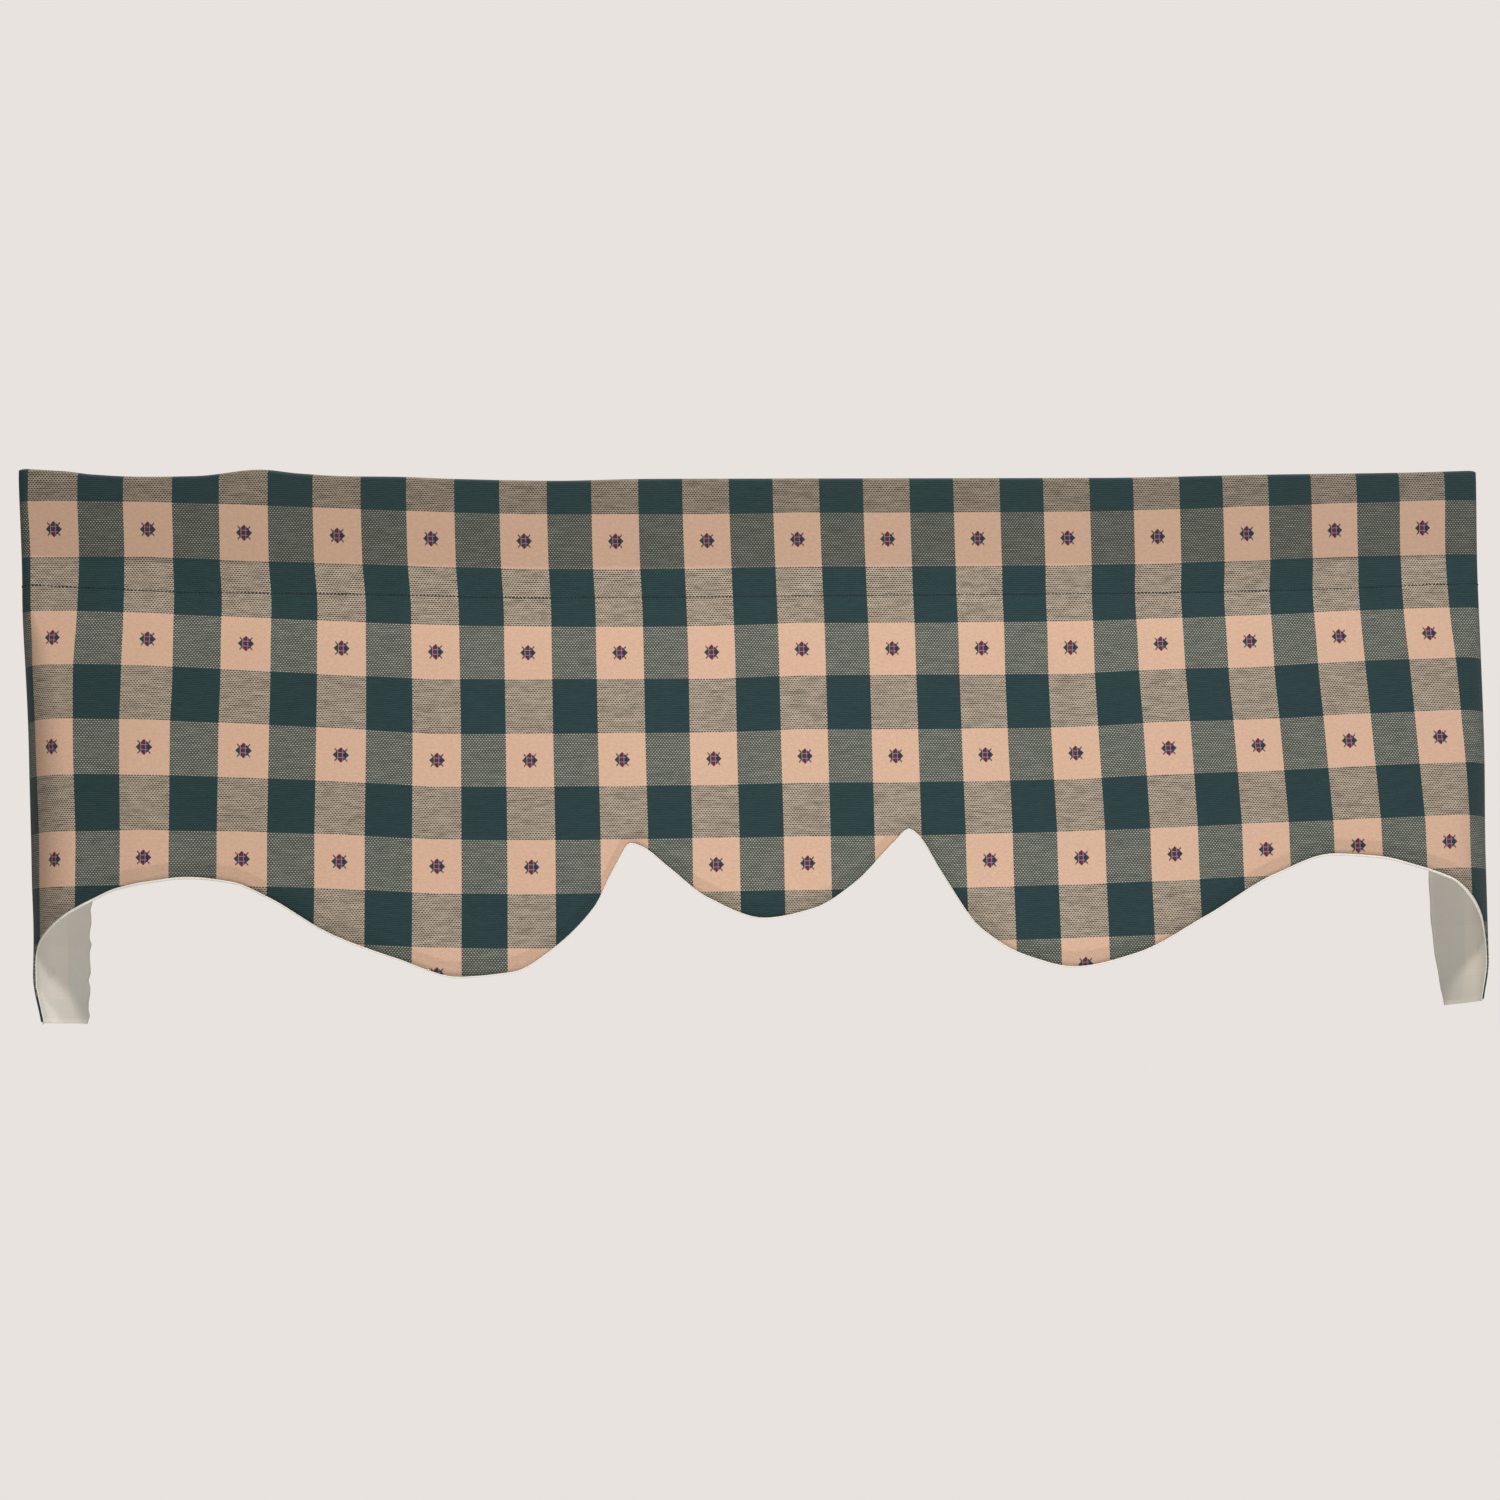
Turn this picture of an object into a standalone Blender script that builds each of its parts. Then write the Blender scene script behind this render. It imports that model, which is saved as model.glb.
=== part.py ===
"""Window valance: a shaped and lined cloth panel that hangs from a flat curtain rod.

The woven check cloth runs across the front and back along both returns to the wall. Its top edge
turns over the rod and comes down behind it, where one line of stitches closes the rod pocket and
catches the lining. The lower edge is cut in scallops and sewn to the lining.

Frame: metres, +Z up, the front of the valance faces -Y and the wall is at +Y. The origin is the
middle of the top edge, on the crest of the fold, so the outer face of the front is half a pocket
in front of it. A drop is a distance below the origin, and an inset a distance behind the outer face.
"""

import math

import bmesh
import bpy
import numpy as np

# Driving sizes
RETURN_DEPTH = 0.114
CLOTH_THICKNESS = 0.0012
LINING_THICKNESS = 0.0010
GAP = 0.0003
LINING_SHOWS = 0.0012

# The rod pocket, from the top fold to the line of stitches
POCKET_HEIGHT = 0.102
POCKET_DEPTH = 0.0170
FOLD_RISE = 0.0060
ROD_FOOT_ABOVE_STITCH = 0.026
SEAM_TAIL = 0.010
STITCH_RECESS = 0.0030
RECESS_REACH = 0.045

# No corner of the cloth is turned more sharply than this
INNER_RADIUS = 0.003

# How far apart the columns and rows of the meshes lie
COLUMN_STEP = 0.022
FALL_ROWS = 7
POCKET_ROWS = 3
FOLD_STEPS = 4

# Plan of each side, whose corner is creased by the rod at the top and opens out in the fall:
# drop, the corner's distance from the middle, its radius, and the rear edge's distance
LEFT_PLAN = (
    (0.000, 0.6436, 0.008, 0.6400), (0.098, 0.6400, 0.010, 0.6375), (0.150, 0.6433, 0.030, 0.6300),
    (0.240, 0.6430, 0.045, 0.6190), (0.335, 0.6412, 0.050, 0.6140), (0.400, 0.6388, 0.050, 0.6145),
    (0.425, 0.6390, 0.050, 0.6160), (0.465, 0.6318, 0.050, 0.6190),
)
RIGHT_PLAN = (
    (0.000, 0.6410, 0.008, 0.6390), (0.098, 0.6385, 0.009, 0.6380), (0.150, 0.6421, 0.019, 0.6350),
    (0.240, 0.6458, 0.031, 0.6310), (0.340, 0.6495, 0.050, 0.6305), (0.430, 0.6488, 0.052, 0.6370),
    (0.465, 0.6428, 0.052, 0.6405),
)

# Lines across the front: place from the middle, and drop
TOP_LINE = (
    (-0.634, -0.0080), (-0.585, -0.0030), (-0.510, -0.0018), (-0.435, -0.0074), (-0.380, -0.0020),
    (-0.270, 0.0010), (-0.180, 0.0022), (0.000, 0.0000), (0.330, 0.0004), (0.530, -0.0038),
    (0.632, -0.0050),
)
STITCH_LINE = (
    (-0.634, 0.0926), (-0.510, 0.0984), (-0.350, 0.1012), (-0.190, 0.1050), (0.000, 0.1044),
    (0.290, 0.1034), (0.445, 0.1015), (0.634, 0.0965),
)
HEM_LINE = (
    (-0.590, 0.3696), (-0.578, 0.3635), (-0.558, 0.3564), (-0.531, 0.3490), (-0.497, 0.3445),
    (-0.461, 0.3490), (-0.431, 0.3621), (-0.375, 0.3945), (-0.317, 0.4183), (-0.267, 0.4339),
    (-0.222, 0.4299), (-0.187, 0.4121), (-0.151, 0.3731), (-0.125, 0.3238), (-0.107, 0.3219),
    (-0.090, 0.3355), (-0.055, 0.3670), (-0.006, 0.3854), (0.037, 0.3786), (0.073, 0.3582),
    (0.107, 0.3221), (0.121, 0.3101), (0.131, 0.3154), (0.159, 0.3650), (0.181, 0.3961),
    (0.220, 0.4218), (0.262, 0.4318), (0.314, 0.4214), (0.378, 0.3910), (0.443, 0.3541),
    (0.496, 0.3367), (0.539, 0.3394), (0.565, 0.3461), (0.588, 0.3533), (0.598, 0.3577),
)
# Round each corner: part of its turn, and drop. The front edge of the return is steep
LEFT_CORNER_HEM = (
    (0.00, 0.3696), (0.05, 0.3722), (0.14, 0.3777), (0.25, 0.3850), (0.36, 0.3928), (0.46, 0.3998),
    (0.54, 0.4075), (0.60, 0.4645), (0.73, 0.4655), (0.86, 0.4656), (1.00, 0.4656),
)
RIGHT_CORNER_HEM = (
    (0.00, 0.3577), (0.05, 0.3603), (0.14, 0.3666), (0.26, 0.3768), (0.37, 0.3888), (0.46, 0.4003),
    (0.52, 0.4090), (0.58, 0.4220), (0.62, 0.4400), (0.67, 0.4570), (0.72, 0.4649), (0.86, 0.4662),
    (1.00, 0.4670),
)
# The drop of each return's lower edge at the wall, and the columns from there to its corner
LEFT_REAR_HEM, RIGHT_REAR_HEM = 0.4658, 0.4690
RETURN_COLUMNS = 4

# Soft waves of the hanging cloth: size, half waves from the middle to a corner, and start angle
FRONT_HALF = 0.635
WAVES = ((0.0022, 2.6, 0.4), (0.0013, 5.3, 1.9))
WAVES_GROW_OVER = 0.16
# The lobes of the scallops swing forward over this fall, and the front is flat near its corners
LOBE_FLARE = 0.004
FLARE_DROP, FLARE_FALL = 0.34, 0.09
FLAT_FROM, FLAT_REACH = 0.49, 0.09
RETURN_WAVE = 0.0016
RETURN_WAVE_LENGTH = 0.16


def clear_scene():
    for old in list(bpy.data.objects):
        bpy.data.objects.remove(old, do_unlink=True)


def smooth_values(table, at):
    """Each value column of a table at a place, on a smooth curve through its rows.

    The slope at a row is the harmonic mean of the slopes either side of it, and level at a peak,
    so the curve never swings past its rows.
    """
    rows = np.array(table, float)
    places, values = rows[:, 0], rows[:, 1:]
    steps = np.diff(values, axis=0) / np.diff(places)[:, None]
    before, after = steps[:-1], steps[1:]
    slopes = np.zeros_like(values)
    rising_on = before * after > 0
    slopes[1:-1][rising_on] = (2 * before * after)[rising_on] / (before + after)[rising_on]
    slopes[0], slopes[-1] = steps[0], steps[-1]
    at = min(max(at, places[0]), places[-1])
    i = min(int(np.searchsorted(places, at, side="right")) - 1, len(places) - 2)
    span = places[i + 1] - places[i]
    t = (at - places[i]) / span
    return (
        (1 + 2 * t) * (1 - t) ** 2 * values[i]
        + t * (1 - t) ** 2 * span * slopes[i]
        + t * t * (3 - 2 * t) * values[i + 1]
        - t * t * (1 - t) * span * slopes[i + 1]
    )


def smooth_line(table, at):
    return float(smooth_values(table, at)[0])


def ease(t):
    """Rises gently from 0 to 1 as t does, and stays there beyond."""
    t = min(max(t, 0.0), 1.0)
    return t * t * (3 - 2 * t)


class SidePlan:
    """One side of the cloth from above, at a drop and inset: an arc off the front, then straight."""

    def __init__(self, side, drop, inset):
        table = LEFT_PLAN if side < 0 else RIGHT_PLAN
        corner, radius, rear = (float(value) for value in smooth_values(table, drop))
        self.set_arc(corner, radius, 0.0, rear, RETURN_DEPTH)
        if inset > 0:
            rear -= inset * math.sin(self.turn)
            depth = RETURN_DEPTH + inset * math.cos(self.turn)
            self.set_arc(corner - inset, max(radius - inset, INNER_RADIUS), inset, rear, depth)

    def set_arc(self, corner, radius, inset, rear, depth):
        """The arc leaves the front level, and meets the straight line to the rear edge smoothly."""
        self.radius = radius
        self.start = corner - radius
        self.centre = inset + radius
        outward, back = rear - self.start, depth - self.centre
        self.straight = math.sqrt(outward**2 + back**2 - radius**2)
        self.turn = math.atan2(back, outward) + math.atan2(radius, self.straight)

    def point(self, part_of_turn, part_of_straight):
        """How far out from the middle a point is, and how far behind the front's outer face."""
        turned = part_of_turn * self.turn
        past = part_of_straight * self.straight
        outward = self.start + self.radius * math.sin(turned) + past * math.cos(turned)
        return outward, self.centre - self.radius * math.cos(turned) + past * math.sin(turned)


def front_sway(x, drop):
    """How far the hanging cloth is behind the plane of the front."""
    below_stitch = drop - smooth_line(STITCH_LINE, x)
    reach = RECESS_REACH if below_stitch > 0 else ROD_FOOT_ABOVE_STITCH
    recess = STITCH_RECESS * (1 - ease(abs(below_stitch) / reach))
    across = math.pi * x / FRONT_HALF
    waves = sum(size * math.sin(count * across + start) for size, count, start in WAVES)
    flare = LOBE_FLARE * ease((drop - FLARE_DROP) / FLARE_FALL)
    near_corner = ease((abs(x) - FLAT_FROM) / FLAT_REACH)
    return (recess + waves * ease(below_stitch / WAVES_GROW_OVER) - flare) * (1 - near_corner)


class Column:
    """One line down the cloth: on the front, round a corner or along a return.

    Its place is the part of the way across the half front, round the turn or along the return.
    """

    def __init__(self, part, side, place, hem):
        self.part, self.side, self.place, self.hem = part, side, place, hem
        x = self.hang(0.0, POCKET_HEIGHT / 2)[0]
        self.top = smooth_line(TOP_LINE, x)
        self.stitch = smooth_line(STITCH_LINE, x)

    def hang(self, inset, drop):
        """Where a point of this column is: the plan has the same form at every inset and drop."""
        plan = SidePlan(self.side, drop, inset)
        front_face = -POCKET_DEPTH / 2
        if self.part == "front":
            x = self.side * self.place * plan.start
            return x, front_face + inset + front_sway(x, drop), -drop
        if self.part == "corner":
            outward, back = plan.point(self.place, 0)
            return self.side * outward, front_face + back, -drop
        outward, back = plan.point(1, self.place)
        below_pocket = ease((drop - POCKET_HEIGHT) / RETURN_WAVE_LENGTH)
        phase = 2 * math.pi * drop / RETURN_WAVE_LENGTH + self.side
        wave = RETURN_WAVE * self.place * below_pocket * math.sin(phase)
        return self.side * (outward + wave), front_face + back, -drop


def places_through(table):
    """The places in a table, and even steps between them where they are far apart."""
    places = [row[0] for row in table]
    found = places[:1]
    for start, end in zip(places, places[1:]):
        steps = math.ceil(round((end - start) / COLUMN_STEP, 3))
        found += [float(place) for place in np.linspace(start, end, steps + 1)[1:]]
    return found


def side_columns(side, corner_hem, rear_hem):
    """The columns of one side, from the start of its corner to the rear edge."""
    columns = [Column("corner", side, part, hem) for part, hem in corner_hem]
    lower_edge = ((0, corner_hem[-1][1]), (1, rear_hem))
    for place in np.linspace(0, 1, RETURN_COLUMNS + 1)[1:]:
        columns.append(Column("return", side, float(place), smooth_line(lower_edge, place)))
    return columns


def make_columns():
    """The columns of the cloth in order, from the left rear edge to the right one."""
    left = side_columns(-1, LEFT_CORNER_HEM, LEFT_REAR_HEM)
    front = []
    for x in places_through(HEM_LINE)[1:-1]:
        hem = smooth_line(HEM_LINE, x)
        side = -1 if x < 0 else 1
        front.append(Column("front", side, abs(x) / SidePlan(side, hem, 0.0).start, hem))
    right = side_columns(1, RIGHT_CORNER_HEM, RIGHT_REAR_HEM)
    return left[::-1] + front + right


def fall_rows(column, inset, hem):
    """(inset, drop) up one column of hanging cloth, from its lower edge to the line of stitches."""
    tail_end = column.stitch + SEAM_TAIL
    rows = [(inset, float(drop)) for drop in np.linspace(hem, tail_end, FALL_ROWS + 1)]
    return rows + [(inset, column.stitch)]


def face_rows(column):
    """(inset, drop) up the front of the check cloth, over its top fold and down behind the rod."""
    rows = fall_rows(column, 0.0, column.hem)
    rod_foot = column.stitch - ROD_FOOT_ABOVE_STITCH
    shoulder = column.top + FOLD_RISE
    rows += [(0.0, float(drop)) for drop in np.linspace(rod_foot, shoulder, POCKET_ROWS)[:-1]]
    for step in range(FOLD_STEPS + 1):
        turned = math.pi * step / FOLD_STEPS
        inset = POCKET_DEPTH / 2 * (1 - math.cos(turned))
        rows.append((inset, column.top + FOLD_RISE * (1 - math.sin(turned))))
    seam_back = 2 * CLOTH_THICKNESS + LINING_THICKNESS + 2 * GAP
    rows.append((POCKET_DEPTH, rod_foot))
    rows.append((seam_back, column.stitch))
    rows.append((seam_back, column.stitch + SEAM_TAIL))
    return rows


def lining_rows(column):
    """(inset, drop) up one column of the lining, from its lower edge to inside the seam."""
    inset = CLOTH_THICKNESS + GAP
    rows = fall_rows(column, inset, column.hem + LINING_SHOWS)
    return rows + [(inset, column.stitch - SEAM_TAIL / 2)]


def hang_cloth(name, columns, rows_of, thickness, material, collection):
    """A flat grid of cloth, each of its points moved to where it hangs, then given its thickness.

    Every layer's quads are split along the same diagonal, so that the layers stay apart.
    """
    rows = [rows_of(column) for column in columns]
    mesh = bpy.data.meshes.new(name)
    cloth = bmesh.new()
    wide, high = len(columns) - 1, len(rows[0]) - 1
    bmesh.ops.create_grid(cloth, x_segments=wide, y_segments=high, size=1.0)
    for point in cloth.verts:
        i = round((point.co.x + 1) / 2 * wide)
        j = round((point.co.y + 1) / 2 * high)
        point.co = columns[i].hang(*rows[i][j])
    cloth.to_mesh(mesh)
    cloth.free()
    mesh.shade_smooth()
    mesh.materials.append(material)
    piece = bpy.data.objects.new(name, mesh)
    collection.objects.link(piece)
    split = piece.modifiers.new("same_split", "TRIANGULATE")
    split.quad_method = "SHORTEST_DIAGONAL"
    solid = piece.modifiers.new("thickness", "SOLIDIFY")
    solid.thickness = thickness
    solid.offset = -1.0
    return piece


def cloth_material(name, colour, roughness):
    material = bpy.data.materials.new(name)
    material.use_nodes = True
    shader = material.node_tree.nodes["Principled BSDF"]
    shader.inputs["Base Color"].default_value = (*colour, 1.0)
    shader.inputs["Roughness"].default_value = roughness
    shader.inputs["Metallic"].default_value = 0.0
    return material


def build_valance():
    clear_scene()
    collection = bpy.data.collections.new("window_valance")
    bpy.context.scene.collection.children.link(collection)
    columns = make_columns()
    woven = cloth_material("woven check cotton", (0.19, 0.17, 0.13), 0.85)
    plain = cloth_material("cotton lining", (0.76, 0.71, 0.62), 0.8)
    hang_cloth("check_cloth", columns, face_rows, CLOTH_THICKNESS, woven, collection)
    hang_cloth("lining", columns, lining_rows, LINING_THICKNESS, plain, collection)


build_valance()
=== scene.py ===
# %% [markdown]
# # A window valance in checked cloth
#
# A valance is the short cloth panel that hides a curtain rod. This one is a lined length of woven
# check cotton. A flat rod slides into the pocket along its top, the cloth turns back to the wall at
# both ends, and the lower edge is cut in scallops. We load the plain solids first. They fix the
# frame and the sizes that the finer cloth made here keeps to.

# %% Load the solids
import math

import bpy
import numpy as np
from mathutils import Matrix, Vector


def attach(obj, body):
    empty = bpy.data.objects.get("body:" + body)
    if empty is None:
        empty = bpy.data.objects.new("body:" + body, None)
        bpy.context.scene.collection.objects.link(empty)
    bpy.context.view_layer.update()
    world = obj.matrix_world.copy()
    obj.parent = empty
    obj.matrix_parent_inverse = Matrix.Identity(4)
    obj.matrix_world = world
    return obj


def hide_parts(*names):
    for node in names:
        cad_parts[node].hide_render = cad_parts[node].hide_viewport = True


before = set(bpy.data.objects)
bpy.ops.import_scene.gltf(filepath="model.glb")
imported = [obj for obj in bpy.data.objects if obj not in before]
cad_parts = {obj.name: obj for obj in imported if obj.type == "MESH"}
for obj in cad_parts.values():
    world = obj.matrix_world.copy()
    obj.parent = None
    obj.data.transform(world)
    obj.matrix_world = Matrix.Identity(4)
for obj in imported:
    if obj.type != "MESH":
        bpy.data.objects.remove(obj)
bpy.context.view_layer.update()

# %% [markdown]
# ## Sizes
#
# A maker would write these on the pattern. The cloth hangs from the top edge, so heights are given
# as drops below it, and an inset is a distance behind the outer face. Naming each size once, before
# any shape is made, means that the cloth, the lining and the stitches can't disagree about it.

# %% Driving sizes, in metres
RETURN_DEPTH = 0.114
CLOTH_THICKNESS = 0.0010
LINING_THICKNESS = 0.0007
LINING_INSET = 0.0014

# The rod pocket, from the top fold to the line of stitches
POCKET_HEIGHT = 0.102
POCKET_DEPTH = 0.0170
FOLD_RISE = 0.0060
ROD_FOOT_ABOVE_STITCH = 0.026

# The stitches draw the front back, and the pocket's rear layer ends a little below them
STITCH_RECESS = 0.0030
RECESS_REACH = 0.045
SEAM_BACK = 0.0034
SEAM_TAIL = 0.010

# No corner of the cloth is turned more sharply than this
INNER_RADIUS = 0.003
print("pocket:", 1000 * POCKET_HEIGHT, "mm, return:", 1000 * RETURN_DEPTH, "mm")

# %% [markdown]
# ## The shape as short tables
#
# Cloth doesn't hang to a formula. The rod creases its corners at the top, they open out in the
# fall, and the hem swings through three lobes, two notches and two arches. Such a line could be a
# Bezier curve drawn by hand, or a few measured rows with a smooth curve through them. Rows are the
# easier to read and to correct, so each line here is a short table.

# %% Plan of each side
# Drop, the corner's distance from the middle, its radius, and the rear edge's distance
LEFT_PLAN = (
    (0.000, 0.6436, 0.008, 0.6400), (0.098, 0.6400, 0.010, 0.6375), (0.150, 0.6433, 0.030, 0.6300),
    (0.240, 0.6430, 0.045, 0.6190), (0.335, 0.6412, 0.050, 0.6140), (0.400, 0.6388, 0.050, 0.6145),
    (0.425, 0.6390, 0.050, 0.6160), (0.465, 0.6318, 0.050, 0.6190),
)
RIGHT_PLAN = (
    (0.000, 0.6410, 0.008, 0.6390), (0.098, 0.6385, 0.009, 0.6380), (0.150, 0.6421, 0.019, 0.6350),
    (0.240, 0.6458, 0.031, 0.6310), (0.340, 0.6495, 0.050, 0.6305), (0.430, 0.6488, 0.052, 0.6370),
    (0.465, 0.6428, 0.052, 0.6405),
)
print("the left corner opens from", 1000 * LEFT_PLAN[0][2], "to", 1000 * LEFT_PLAN[-1][2], "mm")

# %% Lines across the front: place from the middle, and drop
TOP_LINE = (
    (-0.634, -0.0110), (-0.600, -0.0088), (-0.580, -0.0062), (-0.533, -0.0040), (-0.490, -0.0046),
    (-0.435, -0.0102), (-0.405, -0.0070), (-0.360, -0.0042), (-0.320, -0.0038), (-0.270, -0.0018),
    (-0.180, 0.0000), (-0.100, -0.0016), (0.300, -0.0020), (0.440, -0.0046), (0.575, -0.0064),
    (0.632, -0.0080),
)
STITCH_LINE = (
    (-0.634, 0.0926), (-0.510, 0.0984), (-0.350, 0.1012), (-0.190, 0.1050), (0.000, 0.1044),
    (0.290, 0.1034), (0.445, 0.1015), (0.634, 0.0965),
)
HEM_LINE = (
    (-0.590, 0.3696), (-0.578, 0.3635), (-0.558, 0.3540), (-0.530, 0.3480), (-0.497, 0.3445),
    (-0.460, 0.3490), (-0.430, 0.3620), (-0.375, 0.3950), (-0.320, 0.4165), (-0.267, 0.4330),
    (-0.222, 0.4295), (-0.187, 0.4097), (-0.151, 0.3735), (-0.141, 0.3530), (-0.131, 0.3345),
    (-0.121, 0.3200), (-0.112, 0.3225), (-0.087, 0.3420), (-0.055, 0.3675), (-0.006, 0.3860),
    (0.037, 0.3780), (0.073, 0.3560), (0.107, 0.3220), (0.121, 0.3100), (0.130, 0.3165),
    (0.149, 0.3485), (0.181, 0.3970), (0.220, 0.4215), (0.262, 0.4320), (0.314, 0.4215),
    (0.378, 0.3895), (0.443, 0.3530), (0.496, 0.3360), (0.540, 0.3395), (0.565, 0.3460),
    (0.588, 0.3533), (0.598, 0.3577),
)
print("lowest scallop:", 1000 * max(drop for _, drop in HEM_LINE), "mm down")

# %% The hem round each corner, and the edge of the lining
# Part of the corner's turn, and drop. The front edge of the return is steep
LEFT_CORNER_HEM = (
    (0.000, 0.3696), (0.050, 0.3722), (0.140, 0.3777), (0.250, 0.3850), (0.360, 0.3928),
    (0.460, 0.3998), (0.530, 0.4062), (0.556, 0.4130), (0.576, 0.4330), (0.597, 0.4620),
    (0.603, 0.4645), (0.730, 0.4655), (1.000, 0.4656),
)
RIGHT_CORNER_HEM = (
    (0.000, 0.3577), (0.050, 0.3603), (0.140, 0.3666), (0.260, 0.3768), (0.370, 0.3888),
    (0.460, 0.4003), (0.520, 0.4090), (0.580, 0.4220), (0.622, 0.4400), (0.662, 0.4570),
    (0.712, 0.4640), (0.722, 0.4650), (0.860, 0.4662), (1.000, 0.4670),
)
LEFT_REAR_HEM, RIGHT_REAR_HEM = 0.4658, 0.4690
# How far the lining shows below the edge of the cloth, by the distance round it from the middle
LINING_SHOWS = (
    (-0.655, 0.0008), (-0.640, 0.0026), (-0.560, 0.0024), (-0.300, 0.0017), (0.000, 0.0015),
    (0.300, 0.0017), (0.500, 0.0021), (0.600, 0.0026), (0.622, 0.0050), (0.640, 0.0060),
    (0.648, 0.0036), (0.660, 0.0008),
)
print("the returns end", 1000 * LEFT_REAR_HEM, "and", 1000 * RIGHT_REAR_HEM, "mm down")


# %% Run a smooth curve through a table
def smooth_values(table, at):
    """Each value column of a table at a place, on a smooth curve through its rows.

    The slope at a row is the harmonic mean of the slopes either side of it, and level at a peak,
    so the curve never swings past its rows.
    """
    rows = np.array(table, float)
    places, values = rows[:, 0], rows[:, 1:]
    steps = np.diff(values, axis=0) / np.diff(places)[:, None]
    before, after = steps[:-1], steps[1:]
    slopes = np.zeros_like(values)
    rising_on = before * after > 0
    slopes[1:-1][rising_on] = (2 * before * after)[rising_on] / (before + after)[rising_on]
    slopes[0], slopes[-1] = steps[0], steps[-1]
    at = np.clip(at, places[0], places[-1])
    i = np.clip(np.searchsorted(places, at, side="right") - 1, 0, len(places) - 2)
    span = (places[i + 1] - places[i])[..., None]
    t = (at - places[i])[..., None] / span
    return (
        (1 + 2 * t) * (1 - t) ** 2 * values[i]
        + t * (1 - t) ** 2 * span * slopes[i]
        + t * t * (3 - 2 * t) * values[i + 1]
        - t * t * (1 - t) * span * slopes[i + 1]
    )


def smooth_line(table, at):
    """The one value column of a table at a place."""
    return smooth_values(table, at)[..., 0]


print("drop of the hem at the middle:", round(float(smooth_line(HEM_LINE, 0.0)), 4), "m")

# %% [markdown]
# ## Waves and puckers
#
# The cloth isn't a flat board. It sways a little between the middle and the corners, it is drawn in
# along the stitches, and the lobes of the scallops swing forward. Finer puckers sit on that, where
# thread pulls the cloth. A cloth simulation could find such waves, but not in places that we choose,
# so each is a short table of sine waves, and the same cloth hangs every time.

# %% Sizes of the waves and puckers
FRONT_HALF = 0.635
# Sway of the front: size, half waves from the middle to a corner, and start angle
WAVES = ((0.0022, 2.6, 0.4), (0.0013, 5.3, 1.9))
WAVES_GROW_OVER = 0.16
# The lobes swing forward over this fall, and the front is flat near its corners
LOBE_FLARE = 0.004
FLARE_DROP, FLARE_FALL = 0.34, 0.09
FLAT_FROM, FLAT_REACH = 0.49, 0.09
RETURN_WAVE = 0.0016
RETURN_WAVE_LENGTH = 0.16
# Puckers: size, wavelength and start angle. The hem of the rear edge draws up more on the left
STITCH_PUCKERS = ((0.00035, 0.043, 0.3), (0.00028, 0.0235, 1.7), (0.00020, 0.0151, 4.0))
HEM_PUCKERS = ((0.0005, 0.071, 0.9), (0.0003, 0.037, 2.6), (0.0002, 0.0214, 5.1))
PUCKER_REACH = 0.014
LEFT_EDGE_PUCKERS = ((0.0009, 0.0213, 1.1), (0.0004, 0.0137, 0.0))
RIGHT_EDGE_PUCKERS = ((0.0003, 0.0330, 0.0),)


def ease(t):
    """Rises gently from 0 to 1 as t does, and stays there beyond."""
    t = np.clip(t, 0.0, 1.0)
    return t * t * (3 - 2 * t)


def waves_of(table, along):
    """The height of a sum of waves at a distance along the cloth."""
    return sum(size * np.sin(2 * math.pi * along / length + start) for size, length, start in table)


print("largest sway:", 1000 * sum(size for size, _, _ in WAVES), "mm either way")

# %% [markdown]
# ## The hanging surface
#
# The cloth, the lining and the stitches are all the same surface, a hair apart. Each could be
# modelled on its own, but then they could cut through one another. So one rule places every layer.
# A column is a line down the cloth: on the front, round a corner or along a return. Given an inset
# and a drop, it says where that point hangs.

# %% Each side from above
class SidePlan:
    """One side of the cloth from above, at a drop and inset: an arc off the front, then straight."""

    def __init__(self, side, drop, inset):
        table = LEFT_PLAN if side < 0 else RIGHT_PLAN
        corner, radius, rear = np.moveaxis(smooth_values(table, drop), -1, 0)
        self.set_arc(corner, radius, 0.0, rear, RETURN_DEPTH)
        rear = rear - inset * np.sin(self.turn)
        depth = RETURN_DEPTH + inset * np.cos(self.turn)
        self.set_arc(corner - inset, np.maximum(radius - inset, INNER_RADIUS), inset, rear, depth)

    def set_arc(self, corner, radius, inset, rear, depth):
        """The arc leaves the front level, and meets the straight line to the rear edge smoothly."""
        self.radius = radius
        self.start = corner - radius
        self.centre = inset + radius
        outward, back = rear - self.start, depth - self.centre
        self.straight = np.sqrt(outward**2 + back**2 - radius**2)
        self.turn = np.arctan2(back, outward) + np.arctan2(radius, self.straight)

    def point(self, part_of_turn, part_of_straight):
        """How far out from the middle a point is, and how far behind the front's outer face."""
        turned = part_of_turn * self.turn
        past = part_of_straight * self.straight
        outward = self.start + self.radius * np.sin(turned) + past * np.cos(turned)
        return outward, self.centre - self.radius * np.cos(turned) + past * np.sin(turned)


corner_turn = math.degrees(SidePlan(-1, POCKET_HEIGHT, 0.0).turn)
print("under the pocket the left corner turns", round(float(corner_turn), 1), "degrees")


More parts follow.
